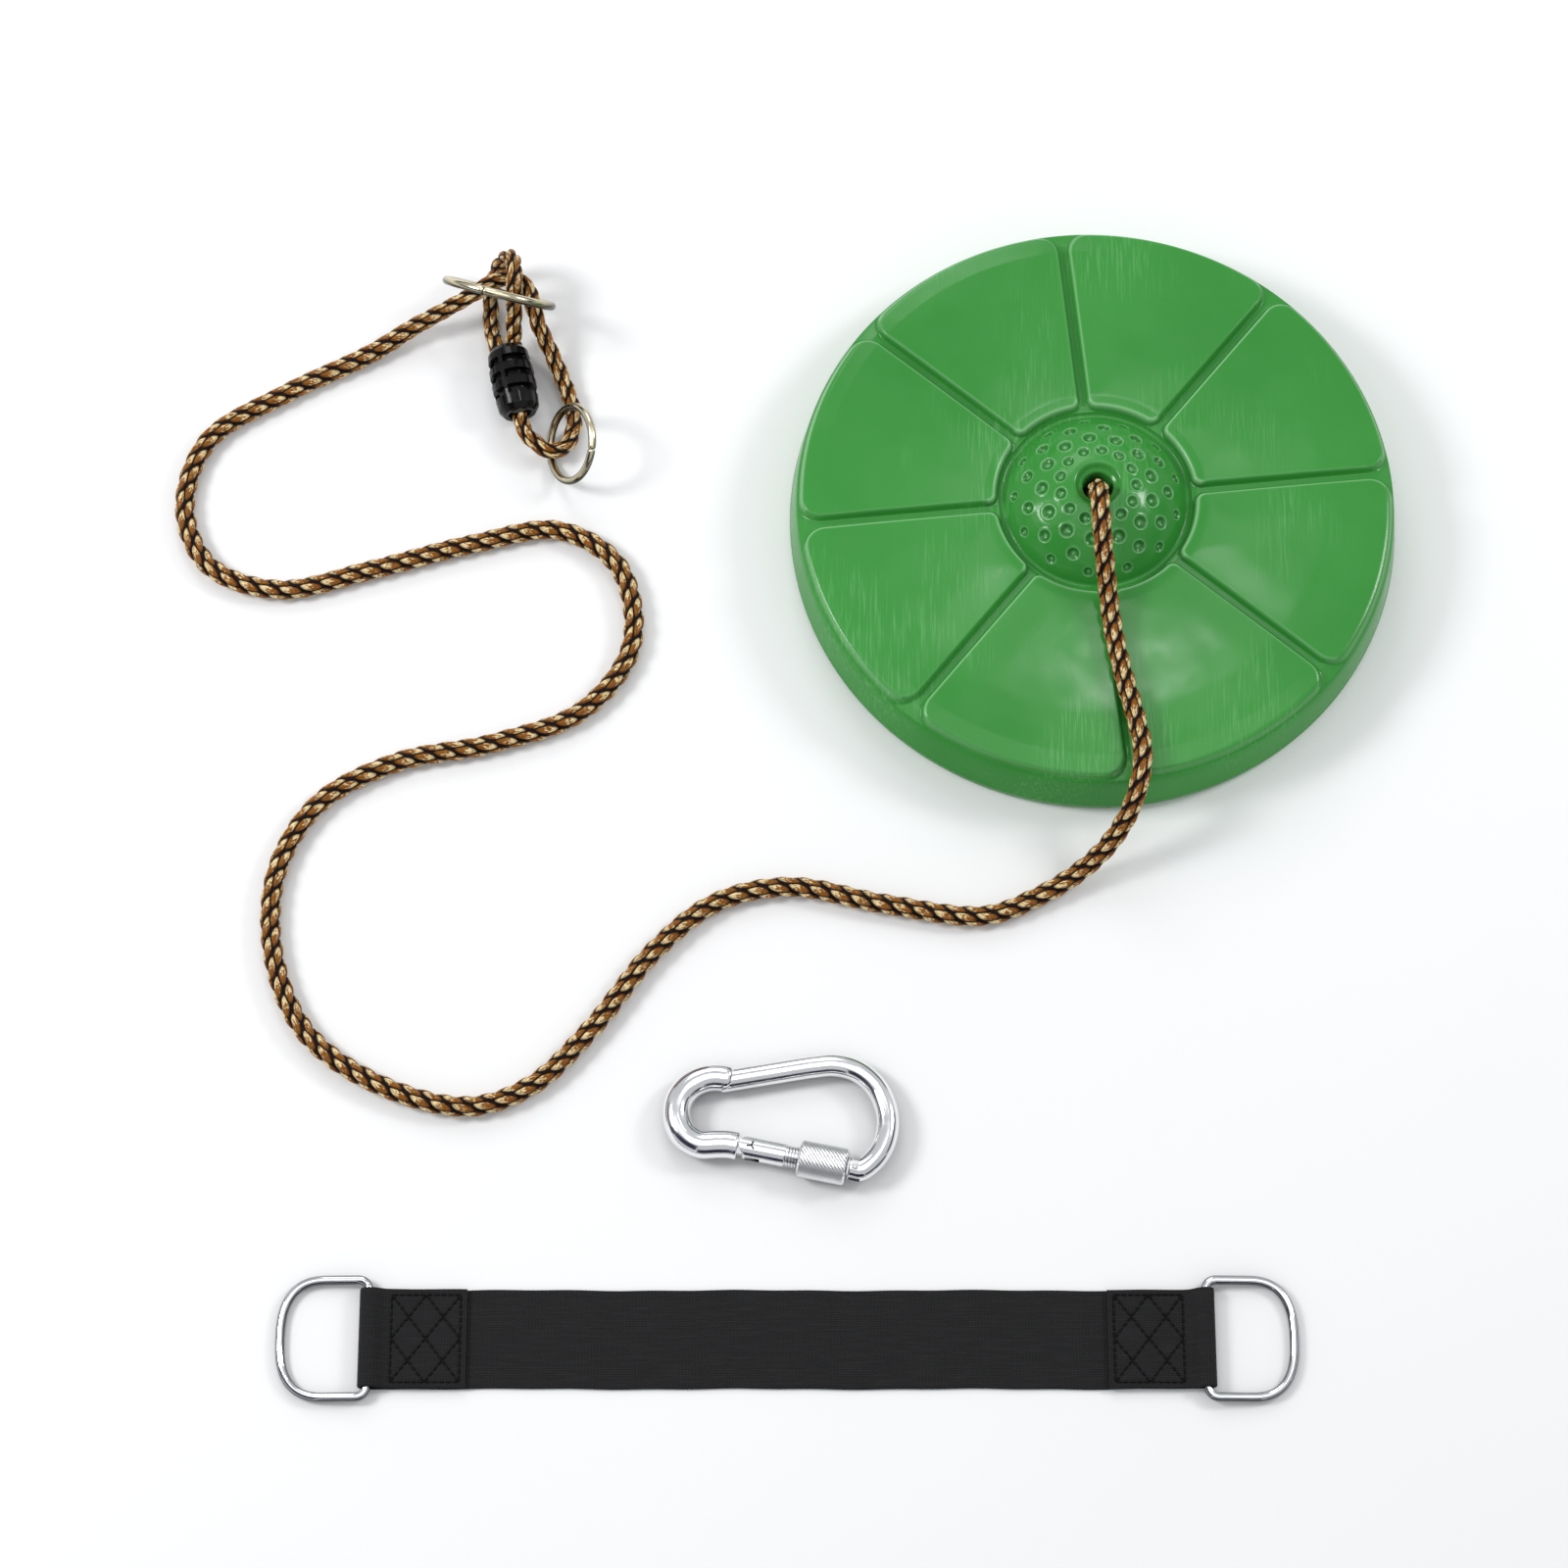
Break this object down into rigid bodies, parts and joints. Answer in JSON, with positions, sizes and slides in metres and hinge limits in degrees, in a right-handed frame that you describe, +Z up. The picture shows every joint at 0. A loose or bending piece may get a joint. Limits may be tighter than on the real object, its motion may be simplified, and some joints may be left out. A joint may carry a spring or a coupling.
{
  "type": "disc swing",
  "caption": "Round plastic disc swing seat on a braided rope with a ring and ferrule adjuster, screw-lock snap hook and webbing hanging strap.",
  "frame": {"origin": "on the ground plane, below the centre of the box round the seat, hook and strap as laid out; the free rope is not counted", "axes": "+Z up from the ground; +X along the hanging strap, with the seat on the +X side; +Y from the strap towards the seat"},
  "size_m": [0.6222, 0.607, 0.0684],
  "materials": {
    "seat_plastic": "semi-gloss moulded",
    "rope_fibre": "glossy twisted filament",
    "black_plastic": "semi-gloss moulded",
    "ring_steel": "yellow zinc plate",
    "zinc_steel": "bright zinc plate",
    "bright_steel": "bright nickel plate",
    "webbing": "woven matt",
    "thread": "twisted thread"
  },
  "bodies": {
    "rope_rig": {"rope_main": "rope_fibre", "rope_adjuster_loop": "rope_fibre", "rope_eye": "rope_fibre", "stopper_knot": "rope_fibre", "adjuster_barrel": "black_plastic"},
    "seat": {"seat_shell": "seat_plastic"},
    "tension_ring": {"tension_ring": "ring_steel"},
    "hanging_ring": {"hanging_ring": "ring_steel"},
    "snap_hook": {"hook_body": "zinc_steel"},
    "hook_gate": {"gate": "zinc_steel", "gate_rivet": "zinc_steel", "latch_pin": "zinc_steel", "gate_spring": "zinc_steel"},
    "plunger": {"gate_plunger": "zinc_steel"},
    "sleeve": {"lock_sleeve": "zinc_steel"},
    "strap": {"strap_webbing": "webbing", "left_stitching": "thread", "right_stitching": "thread"},
    "left_d_ring": {"left_d_ring": "bright_steel"},
    "right_d_ring": {"right_d_ring": "bright_steel"}
  },
  "joints": [
    {"name": "seat_spin", "type": "hinge", "parent": "rope_rig", "child": "seat", "pos_m": [0.121, 0.1495, 0.03], "axis": [0, 0, 1], "continuous": true},
    {"name": "tension_ring_turn", "type": "hinge", "parent": "rope_rig", "child": "tension_ring", "pos_m": [-0.182, 0.264, 0.0364], "axis": [0.2447, 0.8648, 0.4384], "continuous": true},
    {"name": "hanging_ring_swing", "type": "hinge", "parent": "rope_rig", "child": "hanging_ring", "pos_m": [-0.15255, 0.18895, 0.0086], "axis": [-0.8741, -0.3631, 0.3227], "range_deg": [-15, 30]},
    {"name": "hook_lift", "type": "slide", "parent": "rope_rig", "child": "snap_hook", "axis": [0, 0, 1], "range_m": [0, 0.25]},
    {"name": "gate_hinge", "type": "hinge", "parent": "snap_hook", "child": "hook_gate", "pos_m": [-0.0518, -0.18118, 0.00865], "axis": [0, 0.0494, 0.9988], "range_deg": [0, 28], "stiffness_Nm_per_rad": 0.25, "springref_deg": -20.05},
    {"name": "plunger_travel", "type": "slide", "parent": "hook_gate", "child": "plunger", "axis": [0.9799, -0.1991, 0.0098], "range_m": [0, 0.0009]},
    {"name": "sleeve_travel", "type": "slide", "parent": "hook_gate", "child": "sleeve", "axis": [-0.9799, 0.1991, -0.0098], "range_m": [-0.005, 0.006]},
    {"name": "strap_lift", "type": "slide", "parent": "rope_rig", "child": "strap", "axis": [0, 0, 1], "range_m": [0, 0.25]},
    {"name": "left_d_ring_hinge", "type": "hinge", "parent": "strap", "child": "left_d_ring", "pos_m": [-0.2345, -0.273, 0.0044], "axis": [0, 1, 0], "range_deg": [0, 165]},
    {"name": "right_d_ring_hinge", "type": "hinge", "parent": "strap", "child": "right_d_ring", "pos_m": [0.1655, -0.273, 0.0044], "axis": [0, -1, 0], "range_deg": [0, 165]}
  ],
  "couplings": [
    {"joint": "plunger_travel", "follows": "gate_hinge", "m_per_rad": 0.00184}
  ]
}
